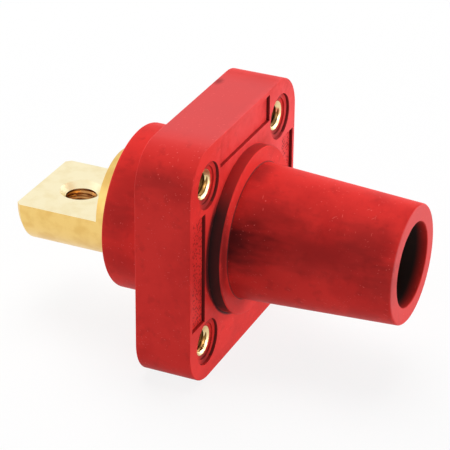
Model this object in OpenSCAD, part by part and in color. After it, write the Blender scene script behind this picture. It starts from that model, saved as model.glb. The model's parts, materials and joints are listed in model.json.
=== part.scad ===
// Panel-mounted female single-pole power connector with a half-round bus terminal.
// The axis lies along Y: the tapered nose points along -Y and the terminal along +Y.
// The origin is on the axis, in the flange's back face, which seats on the panel. +Z is up.

/* [Flange] */
// Side of the square mounting flange
flange_side = 63.5; // [61:0.5:70]
// Thickness of the flange
flange_thick = 14.8; // [12:0.1:18]
// Radius of the flange's corners
flange_corner_r = 10.8; // [6:0.2:12]
// Rounding along the flange's edges
flange_edge_r = 0.3; // [0.2:0.1:1]

/* [Front pockets] */
// Land left between a pocket's end and the recess of a fixing
pocket_land = 0.775; // [0.4:0.025:4]
// Land left between a pocket and the collar
pocket_gap = 1.7; // [0.8:0.1:4]
// Rim left between a pocket and the flange's side
pocket_rim = 1.35; // [1.2:0.05:2]
// Depth of each pocket
pocket_depth = 0.9; // [0.4:0.1:1.5]

/* [Fixings] */
// Distance from a fixing hole's centre to the flange's sides
hole_edge = 10.125; // [9:0.125:11]
// Diameter of the recess in front of each insert
recess_d = 12; // [11:0.25:13]
// Depth of the recess below the front face
recess_depth = 0.8; // [0.4:0.1:1.5]
// Diameter of the step inside the recess
step_d = 9.6; // [8.8:0.1:10.6]
// Depth of the step below the recess
step_depth = 0.5; // [0.2:0.1:1]
// Outside diameter of a threaded insert
insert_d = 7.6; // [7:0.1:8.4]
// Diameter of an insert's hole at the thread crests
insert_hole_d = 5.1; // [4.2:0.1:5.4]
// Chamfer at an insert's front mouth
insert_chamfer = 0.6; // [0.2:0.1:0.7]
// Depth of the retaining groove round an insert
insert_groove = 0.5; // [0.3:0.05:0.7]
// Width of the retaining groove
insert_groove_w = 3; // [2:0.25:6]

/* [Nose] */
// Diameter of the collar at the root of the nose
collar_d = 43.2; // [40:0.2:45]
// Height of the collar above the flange
collar_h = 3.2; // [2:0.1:5]
// Diameter of the nose where it leaves the collar
nose_root_d = 35; // [33.5:0.1:38]
// Diameter of the nose at its tip
nose_tip_d = 30.4; // [29.5:0.1:33]
// Length of the nose beyond the collar
nose_len = 41.6; // [36:0.1:48]
// Bore of the nose in front of the contact
nose_bore_d = 21.6; // [19:0.2:24]
// Rounding of the nose's root and tip and of the collar's edge
nose_edge_r = 0.6; // [0.3:0.1:1]

/* [Boss] */
// Diameter of the boss that passes through the panel
boss_d = 42.9; // [38:0.1:44]
// Length of the boss behind the flange
boss_len = 14.5; // [10:0.1:20]
// Rounding of the boss's rear edge
boss_edge_r = 0.6; // [0.3:0.1:1.5]

/* [Contact] */
// Diameter of the bar that the contact is turned from
bar_d = 28.2; // [26:0.1:30]
// Diameter of the barrel round the socket, inside the nose
barrel_d = 24; // [23:0.2:26]
// Distance from the nose's tip back to the contact's mouth
mouth_depth = 12.7; // [9:0.1:16]
// Length of the waist that locks the contact in the moulding
waist_len = 8; // [4:0.5:10]
// Depth of the waist below the bar's surface
waist_depth = 1.6; // [0.8:0.1:2.4]
// Length of full round bar behind the boss
stub_len = 5.2; // [3:0.1:12]
// Length of the half-round terminal
terminal_len = 23.1; // [18:0.1:32]
// Thickness of the terminal from its flat to its round side
terminal_thick = 14.6; // [10:0.1:16]
// Chamfer at the terminal's end
end_chamfer = 1.2; // [0.3:0.1:1.5]
// Diameter of the tapped terminal hole at the thread crests
tap_d = 8; // [6:0.1:10]
// Width of the countersink on each side of the tapped hole
tap_chamfer = 1.2; // [0.4:0.1:1.6]

/* [Socket] */
// Diameter of the socket that takes the mating pin
socket_d = 16; // [14:0.1:17]
// Depth of the socket behind the contact's mouth
socket_depth = 30; // [26:0.5:34]
// Chamfer round the socket's mouth
socket_chamfer = 1; // [0.4:0.1:1.4]
// Full angle of the drilled point at the socket's end
drill_angle = 118; // [90:1:140]
// Diameter of the round-bottomed keyway
key_d = 8; // [6:0.1:9]
// Reach of the keyway beyond the socket's wall
key_reach = 2; // [1:0.1:2.4]
// Length of socket wall in front of the cam groove
land_len = 9; // [6:0.25:11]
// Width of the cam groove
groove_w = 8; // [5:0.25:10]
// Room between the keyway's depth and the groove at the keyway
groove_gap = 0.2; // [0.1:0.05:0.5]
// How far the groove closes in over half a turn
groove_rise = 0.8; // [0.2:0.1:1.2]

/* [Fits] */
// Radial clearance round the brass pieces in the moulding
mould_gap = 0.04; // [0.01:0.01:0.1]

/* [Hidden] */
$fn = 96;

// How far a cut runs past the face that it opens
cut_over = 1;

// Heights along the axis, counted from the back face towards the nose
front_z = flange_thick;
collar_z = front_z + collar_h;
tip_z = collar_z + nose_len;
mouth_z = tip_z - mouth_depth;
shoulder_z = -boss_len - stub_len;
end_z = shoulder_z - terminal_len;
tap_z = shoulder_z - terminal_len / 2;
socket_z = mouth_z - socket_depth;
groove_z = mouth_z - land_len - groove_w;
waist_z = (flange_thick - waist_len) / 2;
insert_len = flange_thick - recess_depth - step_depth;
insert_groove_z = (insert_len - insert_groove_w) / 2;

hole_pitch = flange_side - 2 * hole_edge;
pocket_len = hole_pitch - recess_d - 2 * pocket_land;
pocket_inner = collar_d / 2 + pocket_gap;
pocket_w = flange_side / 2 - pocket_rim - pocket_inner;
bar_r = bar_d / 2;
flat_y = terminal_thick - bar_r;
nose_taper = atan((nose_root_d - nose_tip_d) / 2 / nose_len);
drill_h = socket_d / 2 / tan(drill_angle / 2);
key_y = socket_d / 2 + key_reach - key_d / 2;
groove_far = socket_d / 2 + key_reach + groove_gap;
groove_near = groove_far - groove_rise;

// Radius of the tapered nose at a height along the axis
function nose_r(z) = nose_root_d / 2 - (z - collar_z) * tan(nose_taper);

// Turns a shape built with the nose upwards so that the nose points along -Y
module placed() {
  rotate([90, 0, 0]) children();
}

// Half section of a disc of radius r between two heights, with its outer edges rounded
module disc_section(r, low, high, low_r, high_r) {
  inner = r - max(low_r, high_r);
  translate([0, low]) square([inner, high - low]);
  translate([0, low + low_r]) square([r, high - low - low_r - high_r]);
  if (low_r > 0) translate([r - low_r, low + low_r]) circle(low_r);
  if (high_r > 0) translate([r - high_r, high - high_r]) circle(high_r);
}

// Section of the flange's rim, from the straight middle block outwards
module rim_section() {
  disc_section(flange_corner_r, 0, flange_thick, flange_edge_r, flange_edge_r);
}

// Square plate with round corners: its sides and corners share one section, rounded at both edges
module flange() {
  reach = flange_side / 2 - flange_corner_r;
  linear_extrude(height = flange_thick) square(2 * reach, center = true);
  for (turn = [0, 90, 180, 270])
    rotate([0, 0, turn]) {
      translate([reach, 0, 0])
        rotate([90, 0, 0]) linear_extrude(height = 2 * reach, center = true) rim_section();
      translate([reach, reach, 0]) rotate_extrude() rim_section();
    }
}

// Boss behind the flange and collar in front of it, both rooted in the flange's middle
module boss_and_collar() {
  rotate_extrude()
    disc_section(boss_d / 2, -boss_len, flange_thick / 2, boss_edge_r, 0);
  rotate_extrude()
    disc_section(collar_d / 2, flange_thick / 2, collar_z, 0, nose_edge_r);
}

// Half section of the solid nose: its taper runs tangent into the rounded tip
module nose_section() {
  edge = nose_edge_r;
  round_z = tip_z - edge;
  round_x = nose_r(round_z) - edge / cos(nose_taper);
  polygon([
    [0, front_z],
    [nose_root_d / 2, front_z],
    [nose_root_d / 2, collar_z],
    [round_x + edge * cos(nose_taper), round_z + edge * sin(nose_taper)],
    [round_x, tip_z],
    [0, tip_z]
  ]);
  translate([round_x, round_z]) circle(edge);
}

// Half section of the fillet between the collar's face and the taper
module root_fillet_section() {
  edge = nose_edge_r;
  centre_x = nose_r(collar_z + edge) + edge / cos(nose_taper);
  inner_x = nose_root_d / 2 - edge;
  rise = edge - edge * sin(nose_taper);
  difference() {
    translate([inner_x, collar_z - edge]) square([centre_x - inner_x, edge + rise]);
    translate([centre_x, collar_z + edge]) circle(edge);
  }
}

// Bore in front of the contact, with a rounded mouth
module nose_bore() {
  edge = nose_edge_r;
  bore_r = nose_bore_d / 2;
  rotate_extrude() {
    translate([0, mouth_z - cut_over]) square([bore_r, mouth_depth + 2 * cut_over]);
    difference() {
      translate([0, tip_z - edge]) square([bore_r + edge, edge + cut_over]);
      translate([bore_r + edge, tip_z - edge]) circle(edge);
    }
  }
}

// Half section of the turned bar and its barrel, grown by a radial gap for their seat
module bar_section(gap = 0) {
  outer = bar_r + gap;
  waist = outer - waist_depth;
  barrel = barrel_d / 2 + gap;
  polygon([
    [0, end_z],
    [outer - end_chamfer, end_z],
    [outer, end_z + end_chamfer],
    [outer, waist_z],
    [waist, waist_z],
    [waist, waist_z + waist_len],
    [outer, waist_z + waist_len],
    [outer, front_z],
    [barrel, front_z],
    [barrel, mouth_z],
    [0, mouth_z]
  ]);
}

// Half section of a threaded insert's outside, grown by a radial gap for its seat
module insert_section(gap = 0) {
  outer = insert_d / 2 + gap;
  neck = outer - insert_groove;
  polygon([
    [0, 0],
    [outer, 0],
    [outer, insert_groove_z],
    [neck, insert_groove_z],
    [neck, insert_groove_z + insert_groove_w],
    [outer, insert_groove_z + insert_groove_w],
    [outer, insert_len],
    [0, insert_len]
  ]);
}

// Puts a shape at the fixing hole on the given side and level
module at_hole(side, level) {
  translate([side * hole_pitch / 2, level * hole_pitch / 2, 0]) children();
}

// Seats of the four inserts, with the stepped recesses in front of them
module insert_seats() {
  for (side = [-1, 1], level = [-1, 1])
    at_hole(side, level) {
      rotate_extrude() insert_section(mould_gap);
      for (end = [0, insert_len])
        translate([0, 0, end - cut_over])
          cylinder(h = 2 * cut_over, d = insert_d + 2 * mould_gap);
      translate([0, 0, insert_len]) cylinder(h = step_depth + cut_over, d = step_d);
      translate([0, 0, front_z - recess_depth])
        cylinder(h = recess_depth + cut_over, d = recess_d);
    }
}

// Shallow pockets along the top and both sides of the front face
module pockets() {
  for (turn = [0, 90, -90])
    rotate([0, 0, turn])
      translate([-pocket_len / 2, pocket_inner, front_z - pocket_depth])
        cube([pocket_len, pocket_w, pocket_depth + cut_over]);
}

// Cut that leaves the half-round terminal below its flat
module terminal_cut() {
  translate([-bar_r - cut_over, flat_y, end_z - cut_over])
    cube([bar_d + 2 * cut_over, bar_d, terminal_len + cut_over]);
}

// Tapped hole down through the terminal, countersunk at the flat
module terminal_hole() {
  translate([0, 0, tap_z])
    rotate([-90, 0, 0]) {
      translate([0, 0, -bar_r - cut_over])
        cylinder(h = terminal_thick + 2 * cut_over, d = tap_d);
      translate([0, 0, flat_y - tap_chamfer])
        cylinder(h = tap_chamfer + cut_over, d1 = tap_d, d2 = tap_d + 2 * (tap_chamfer + cut_over));
    }
}

// Half section of the drilled bore with its pointed end
module bore_section() {
  polygon([
    [0, socket_z - drill_h],
    [socket_d / 2, socket_z],
    [socket_d / 2, mouth_z + cut_over],
    [0, mouth_z + cut_over]
  ]);
}

// Socket for the mating pin: drilled bore, keyway and eccentric cam groove
module socket() {
  rotate_extrude() bore_section();
  translate([0, 0, mouth_z - socket_chamfer])
    cylinder(
      h = socket_chamfer + cut_over, d1 = socket_d, d2 = socket_d + 2 * (socket_chamfer + cut_over)
    );
  translate([0, key_y, groove_z]) cylinder(h = mouth_z - groove_z + cut_over, d = key_d);
  translate([0, (groove_far - groove_near) / 2, groove_z])
    cylinder(h = groove_w, d = groove_far + groove_near);
}

// One-piece elastomer moulding: flange, boss, collar and hollow nose
module body() {
  color("firebrick")
    placed()
      difference() {
        union() {
          flange();
          boss_and_collar();
          rotate_extrude() nose_section();
          rotate_extrude() root_fillet_section();
        }
        rotate_extrude() bar_section(mould_gap);
        nose_bore();
        insert_seats();
        pockets();
      }
}

// One-piece turned brass contact: socket barrel, shank, stub and half-round terminal
module contact() {
  color("goldenrod")
    placed()
      difference() {
        rotate_extrude() bar_section();
        terminal_cut();
        terminal_hole();
        socket();
      }
}

// Threaded brass insert at one fixing hole, flush with the flange's back face
module insert(side, level) {
  color("gold")
    placed()
      at_hole(side, level)
        difference() {
          rotate_extrude() insert_section();
          translate([0, 0, -cut_over])
            cylinder(h = insert_len + 2 * cut_over, d = insert_hole_d);
          translate([0, 0, insert_len - insert_chamfer])
            cylinder(
              h = insert_chamfer + cut_over,
              d1 = insert_hole_d,
              d2 = insert_hole_d + 2 * (insert_chamfer + cut_over)
            );
        }
}

module insert_top_left() {
  insert(-1, 1);
}

module insert_top_right() {
  insert(1, 1);
}

module insert_bottom_left() {
  insert(-1, -1);
}

module insert_bottom_right() {
  insert(1, -1);
}

body();
contact();
insert_top_left();
insert_top_right();
insert_bottom_left();
insert_bottom_right();
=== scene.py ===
"""Dresses a panel-mounted single-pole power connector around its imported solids.

Sizes in the classes are millimetres in the part's own frame: the axis lies along Y, the nose points
along -Y, the terminal along +Y, and Y is 0 in the flange's back face. Meshes are written in metres.
"""
import json
import logging
import math
from dataclasses import dataclass
from enum import Enum

import bmesh
import bpy
from mathutils import Matrix, Vector


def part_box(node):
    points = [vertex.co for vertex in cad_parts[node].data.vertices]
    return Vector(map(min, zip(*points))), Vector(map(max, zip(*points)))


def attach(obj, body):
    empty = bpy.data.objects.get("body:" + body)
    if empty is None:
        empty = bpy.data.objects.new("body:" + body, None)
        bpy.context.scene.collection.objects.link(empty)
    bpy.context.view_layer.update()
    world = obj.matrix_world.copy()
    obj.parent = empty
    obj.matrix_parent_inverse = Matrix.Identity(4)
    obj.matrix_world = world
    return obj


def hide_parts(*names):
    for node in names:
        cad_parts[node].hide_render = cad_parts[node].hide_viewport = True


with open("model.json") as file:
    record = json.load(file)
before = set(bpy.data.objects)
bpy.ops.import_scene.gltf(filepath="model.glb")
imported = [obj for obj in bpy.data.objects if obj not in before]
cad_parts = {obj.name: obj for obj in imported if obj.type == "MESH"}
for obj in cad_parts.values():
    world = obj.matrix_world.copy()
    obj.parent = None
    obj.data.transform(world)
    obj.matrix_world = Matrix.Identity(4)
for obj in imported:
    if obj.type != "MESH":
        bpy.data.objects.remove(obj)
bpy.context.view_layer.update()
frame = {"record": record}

LOG = logging.getLogger("connector")
MM = 0.001
BODY = "root"
# Corner attribute of the painted shade in the moulding's corners, recesses and pockets and on the collar's
# wall
HOLLOW = "hollow"
STIPPLED = "stippled"
# Face attribute of the faces with dust and a painted sheen
DUST_AND_SHEEN = "bloom"
FLANGE_THICK = 14.8
NOSE_ROOT_R = 17.5
WHOLE_PART_R = 50.0
UPRIGHT_TO_AXIS = Matrix.Rotation(math.pi / 2, 4, "X")

Point = tuple[float, float]
Triple = tuple[float, float, float]
Colour = tuple[float, float, float]
Socket = bpy.types.NodeSocket
Finish = bpy.types.Material
Piece = bpy.types.Object


class Side(Enum):
    """Which side of the flange a fixing hole is on, seen from the nose."""

    LEFT = -1
    RIGHT = 1


class Level(Enum):
    """Whether a fixing hole is above or below the axis."""

    BOTTOM = -1
    TOP = 1


class PocketPlace(Enum):
    """Turn about the axis, in degrees, that carries the top pocket to each place."""

    TOP = 0.0
    LEFT = -90.0
    RIGHT = 90.0


class Cut(Enum):
    """What a boolean does with its second solid."""

    JOIN = "UNION"
    REMOVE = "DIFFERENCE"


class PatchTint(Enum):
    """The two kinds of patch: painted shade with some grime, and painted sheen."""

    DIRT = "dirt"
    HAZE = "haze"


@dataclass(frozen=True)
class FrameSizes:
    """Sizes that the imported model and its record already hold, in millimetres."""

    side: float
    tip_y: float
    boss_y: float
    boss_r: float
    bar_r: float
    mouth_y: float
    end_y: float
    pitch: float
    insert_r: float
    insert_y: float
    hole_r: float
    tap_r: float
    tap_y: float
    flat_z: float
    nose_bore_r: float
    socket_r: float
    floor_z: float

    @classmethod
    def read(cls) -> "FrameSizes":
        """Reads the sizes from the nodes' boxes and the record's mounts.

        Returns:
            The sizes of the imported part.
        """
        mounts = {mount["name"]: mount for mount in frame["record"]["mounts"]}
        body_low, body_high = (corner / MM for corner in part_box("body"))
        bar_low, bar_high = (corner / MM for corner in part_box("contact"))
        insert_low, insert_high = (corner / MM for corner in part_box("insert_top_left"))
        return cls(
            side=body_high.x - body_low.x,
            tip_y=body_low.y,
            boss_y=body_high.y,
            boss_r=mounts["panel_boss"]["dims"]["r_mm"],
            bar_r=bar_high.x,
            mouth_y=bar_low.y,
            end_y=bar_high.y,
            pitch=mounts["panel_bolts"]["dims"]["spacing_x_mm"],
            insert_r=(insert_high.x - insert_low.x) / 2,
            insert_y=insert_low.y,
            hole_r=mounts["panel_bolts"]["dims"]["hole_r_mm"],
            tap_r=mounts["terminal_hole"]["dims"]["r_mm"],
            tap_y=mounts["terminal_hole"]["pos_m"][1] / MM,
            flat_z=mounts["terminal_flat"]["pos_m"][2] / MM,
            nose_bore_r=mounts["nose_bore"]["dims"]["r_mm"],
            socket_r=mounts["socket_bore"]["dims"]["r_mm"],
            floor_z=body_low.z,
        )


@dataclass(frozen=True)
class Pattern:
    """A noise pattern, and the two of its values that become 0 and 1 in a mask."""

    scale: float
    detail: float
    clear: float = 0.0
    full: float = 1.0


@dataclass(frozen=True)
class Flecks:
    """Scattered marks in the middles of cells.

    The scale is in cells for each unit, a mark's radius is a share of a cell, the core is the share of
    that radius that is fully marked, and only a share of the cells hold a mark.
    """

    scale: float
    radius: float
    share: float
    core: float = 0.4


class NodeSheet:
    """A node tree with short calls that add nodes and join them."""

    def __init__(self, tree: bpy.types.NodeTree) -> None:
        """Keeps the tree that the calls add to."""
        self.tree = tree

    @classmethod
    def fresh(cls, owner: bpy.types.ID) -> "NodeSheet":
        """Turns on the nodes of a material or a room and empties them.

        Args:
            owner: What the nodes belong to.

        Returns:
            The empty sheet.
        """
        owner.use_nodes = True
        owner.node_tree.nodes.clear()
        return cls(owner.node_tree)

    def add(self, kind: str, settings: dict[str, object] | None = None, **inputs: object) -> bpy.types.Node:
        """Adds a node.

        Args:
            kind: Blender's name for the node's type.
            settings: Properties of the node itself.
            **inputs: Values or sockets for its inputs, with spaces in a name written as _.

        Returns:
            The new node.
        """
        node = self.tree.nodes.new(kind)
        for name, value in (settings or {}).items():
            setattr(node, name, value)
        for name, value in inputs.items():
            self.feed(node.inputs[name.replace("_", " ")], value)
        return node

    def feed(self, socket: Socket, value: object) -> None:
        """Links a socket to another, or sets its own value.

        Args:
            socket: The input.
            value: A socket or a plain value.
        """
        if isinstance(value, Socket):
            self.tree.links.new(value, socket)
        else:
            socket.default_value = value

    def math(self, operation: str, first: object, second: object = 0.0) -> Socket:
        """Adds a Math node.

        Args:
            operation: What the node works out.
            first: Its first value.
            second: Its second value.

        Returns:
            The result.
        """
        node = self.add("ShaderNodeMath", {"operation": operation})
        self.feed(node.inputs[0], first)
        self.feed(node.inputs[1], second)
        return node.outputs[0]

    def times(self, first: object, second: object) -> Socket:
        """Multiplies two values."""
        return self.math("MULTIPLY", first, second)

    def vector(self, operation: str, *values: object) -> bpy.types.Node:
        """Adds a Vector Math node.

        Args:
            operation: What the node works out.
            *values: Its inputs in order.

        Returns:
            The node.
        """
        node = self.add("ShaderNodeVectorMath", {"operation": operation})
        for socket, value in zip(node.inputs, values):
            self.feed(socket, value)
        return node

    def axes(self, vector: object) -> bpy.types.bpy_prop_collection:
        """A vector's parts, by the names X, Y and Z."""
        return self.add("ShaderNodeSeparateXYZ", Vector=vector).outputs

    def ramp(self, value: object, low: float, high: float) -> Socket:
        """Stretches a value so that low becomes 0 and high becomes 1, smoothly and clamped.

        Args:
            value: The socket to stretch.
            low: The value that gives 0.
            high: The value that gives 1.

        Returns:
            The stretched value.
        """
        node = self.add("ShaderNodeMapRange", {"interpolation_type": "SMOOTHSTEP"}, Value=value)
        node.inputs["From Min"].default_value = low
        node.inputs["From Max"].default_value = high
        return node.outputs["Result"]

    def span(self, value: object, low: float, high: float) -> Socket:
        """Maps a value from the range 0 to 1 onto another range.

        Args:
            value: The socket to map.
            low: What 0 becomes.
            high: What 1 becomes.

        Returns:
            The mapped value.
        """
        node = self.add("ShaderNodeMapRange", Value=value)
        node.inputs["To Min"].default_value = low
        node.inputs["To Max"].default_value = high
        return node.outputs["Result"]

    def mix(self, factor: object, first: Socket | Colour, second: Socket | Colour) -> Socket:
        """Mixes two colours.

        Args:
            factor: Share of the second colour.
            first: The first colour.
            second: The second colour.

        Returns:
            The mixed colour.
        """
        node = self.add("ShaderNodeMix", {"data_type": "RGBA"})
        factor_input, first_input, second_input = node.inputs[0], node.inputs[6], node.inputs[7]
        self.feed(factor_input, factor)
        for socket, colour in ((first_input, first), (second_input, second)):
            self.feed(socket, (*colour, 1.0) if isinstance(colour, tuple) else colour)
        return node.outputs[2]

    def millimetres(self, scale: Triple = (1.0, 1.0, 1.0), turn: Triple = (0.0, 0.0, 0.0)) -> Socket:
        """Object coordinates in millimetres, stretched and turned for a pattern.

        Args:
            scale: Pattern units for each millimetre along the turned axes.
            turn: Turn of the pattern in degrees.

        Returns:
            The vector socket.
        """
        place = self.add("ShaderNodeTexCoord").outputs["Object"]
        turned = self.add("ShaderNodeMapping", Vector=place)
        turned.inputs["Rotation"].default_value = [math.radians(angle) for angle in turn]
        scaled = self.add("ShaderNodeMapping", Vector=turned.outputs[0])
        scaled.inputs["Scale"].default_value = [each / MM for each in scale]
        return scaled.outputs[0]

    def noise(self, vector: object, pattern: Pattern) -> Socket:
        """A noise pattern's value."""
        node = self.add("ShaderNodeTexNoise", Vector=vector, Scale=pattern.scale, Detail=pattern.detail)
        return node.outputs[0]

    def patches(self, vector: object, pattern: Pattern) -> Socket:
        """Mask of the patches where a noise pattern is high."""
        return self.ramp(self.noise(vector, pattern), pattern.clear, pattern.full)

    def flecks(self, vector: object, marks: Flecks) -> Socket:
        """Mask of small scattered marks.

        Args:
            vector: Pattern coordinates.
            marks: The marks' sizes.

        Returns:
            1 on a mark and 0 elsewhere.
        """
        cells = self.add("ShaderNodeTexVoronoi", Vector=vector, Scale=marks.scale)
        near = self.ramp(cells.outputs["Distance"], marks.radius, marks.radius * marks.core)
        pick = self.add("ShaderNodeSeparateColor", Color=cells.outputs["Color"]).outputs[0]
        return self.times(near, self.math("LESS_THAN", pick, marks.share))

    def seen(self) -> Socket:
        """Tells what the camera sees from what only lights the scene.

        Returns:
            1 for camera, glossy and transmission rays, and 0 for others.
        """
        path = self.add("ShaderNodeLightPath").outputs
        gloss = self.math("MAXIMUM", path["Is Glossy Ray"], path["Is Transmission Ray"])
        return self.math("MAXIMUM", path["Is Camera Ray"], gloss)

    def mark(self, name: str) -> Socket:
        """Reads a number that the mesh carries on its faces or corners."""
        return self.add("ShaderNodeAttribute", {"attribute_name": name}).outputs["Fac"]

    def bump(self, height: object, strength: float, depth: float, under: Socket | None = None) -> Socket:
        """Adds a Bump node.

        Args:
            height: The relief's height.
            strength: Its strength.
            depth: Its depth in millimetres.
            under: Normal of a relief that this one lies on.

        Returns:
            The bumped normal.
        """
        node = self.add("ShaderNodeBump", Height=height, Strength=strength, Distance=depth * MM)
        if under is not None:
            self.feed(node.inputs["Normal"], under)
        return node.outputs[0]


def new_material(name: str) -> tuple[Finish, NodeSheet, bpy.types.Node]:
    """Makes an empty node material with one surface shader.

    Args:
        name: The material's name.

    Returns:
        The material, its node sheet and its surface shader.
    """
    material = bpy.data.materials.new(name)
    sheet = NodeSheet.fresh(material)
    shader = sheet.add("ShaderNodeBsdfPrincipled")
    sheet.add("ShaderNodeOutputMaterial", Surface=shader.outputs[0])
    return material, sheet, shader


@dataclass(frozen=True)
class PaintedPatch:
    """An uneven patch of painted shade with some grime, or of painted sheen, about a place, no further than
    a radius from the axis.
    """

    place: Triple
    reach: Triple
    share: float
    within: float = WHOLE_PART_R
    tint: PatchTint = PatchTint.DIRT


# Painted shade with some grime along the nose's left side, darkest at its root by the collar
NOSE_PATCHES = tuple(
    PaintedPatch(place, reach, share, NOSE_ROOT_R)
    for place, reach, share in (
        ((-17.5, -18.0, 4.5), (9.0, 13.0, 9.0), 0.95),
        ((-13.0, -25.0, 11.5), (8.5, 13.0, 7.5), 0.42),
        ((-15.5, -40.0, 6.0), (9.0, 24.0, 7.0), 0.43),
        ((-11.5, -51.5, 10.5), (7.5, 10.0, 6.5), 0.42),
        ((-15.0, -57.0, 1.5), (8.0, 7.0, 8.0), 0.36),
        ((-15.0, -20.0, -9.0), (9.0, 6.0, 7.0), 0.2),
        ((-2.0, -19.6, 17.2), (9.0, 3.6, 4.0), 0.45),
    )
)
# Painted shade with some grime by the collar's foot, on the flange's left face, on the boss and on the top
FLANGE_AND_BOSS_PATCHES = (
    PaintedPatch((-19.5, -18.0, 3.0), (3.4, 1.6, 17.0), 0.62),
    PaintedPatch((-31.7, -7.0, 26.0), (4.0, 11.0, 5.5), 0.35),
    PaintedPatch((-16.0, 8.0, 14.0), (9.0, 8.0, 10.0), 0.36),
    PaintedPatch((-20.5, 10.0, 6.5), (6.0, 7.0, 6.0), 0.38),
    PaintedPatch((-20.5, 9.0, -6.0), (6.0, 8.0, 8.0), 0.14),
    PaintedPatch((14.0, -1.0, 31.7), (2.6, 1.6, 1.5), 0.5),
)
# Painted sheen on the front face's right side and along its top
FRONT_FACE_SHEEN = (
    PaintedPatch((26.0, -FLANGE_THICK, 14.0), (16.0, 2.0, 24.0), 0.75, tint=PatchTint.HAZE),
    PaintedPatch((4.0, -FLANGE_THICK, 27.0), (26.0, 2.0, 8.0), 0.6, tint=PatchTint.HAZE),
)


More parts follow.
